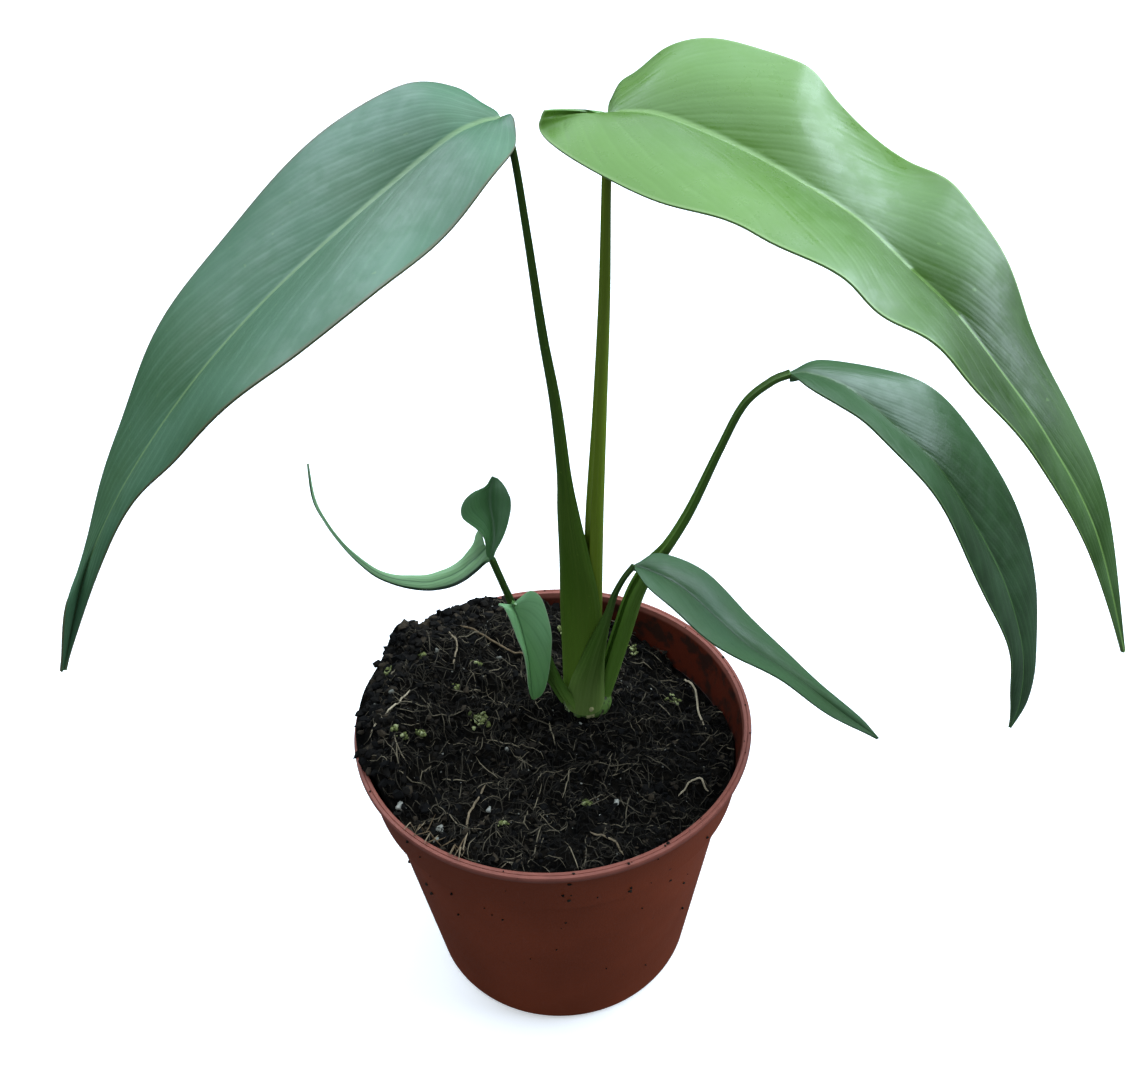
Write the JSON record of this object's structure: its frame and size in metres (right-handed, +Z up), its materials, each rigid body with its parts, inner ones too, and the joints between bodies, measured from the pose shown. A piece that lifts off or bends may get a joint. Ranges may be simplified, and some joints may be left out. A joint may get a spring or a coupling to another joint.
{
  "type": "potted burle marx flame monstera",
  "caption": "Young climbing aroid with long arching pointed leaves on slender sheathed stalks, in a thin terracotta-brown plastic nursery pot filled with peat soil.",
  "frame": {"origin": "centre of the pot's flat underside, on the surface that it stands on", "axes": "+Z up, +X to the right in the picture, -Y towards the picture's camera"},
  "size_m": [0.2595, 0.12, 0.285],
  "materials": {
    "pot": "thin terracotta-brown nursery plastic, paler pink lip",
    "soil": "coarse dark peat with fibres, perlite and yellow-green clumps",
    "crown": "pale fleshy stem",
    "petiole_large_left": "smooth fleshy stalk, satin",
    "petiole_large_right": "smooth fleshy stalk, satin",
    "petiole_middle_right": "smooth fleshy stalk, satin",
    "petiole_small_right": "smooth fleshy stalk, satin",
    "petiole_curled_left": "smooth fleshy stalk, satin",
    "petiole_small_front": "smooth fleshy stalk, satin",
    "blade_large_left": "waxy leaf with parallel side veins, satin to glossy",
    "blade_large_right": "waxy leaf with parallel side veins, satin to glossy",
    "blade_middle_right": "waxy leaf with parallel side veins, satin to glossy",
    "blade_small_right": "waxy leaf with parallel side veins, satin to glossy",
    "blade_curled_left": "waxy leaf with parallel side veins, satin to glossy",
    "blade_small_front": "waxy leaf with parallel side veins, satin to glossy"
  },
  "bodies": {
    "root": {"pot": "pot", "soil": "soil", "crown": "crown", "petiole_large_left": "petiole_large_left", "petiole_large_right": "petiole_large_right", "petiole_middle_right": "petiole_middle_right", "petiole_small_right": "petiole_small_right", "petiole_curled_left": "petiole_curled_left", "petiole_small_front": "petiole_small_front", "blade_large_left": "blade_large_left", "blade_large_right": "blade_large_right", "blade_middle_right": "blade_middle_right", "blade_small_right": "blade_small_right", "blade_curled_left": "blade_curled_left", "blade_small_front": "blade_small_front"}
  },
  "joints": []
}
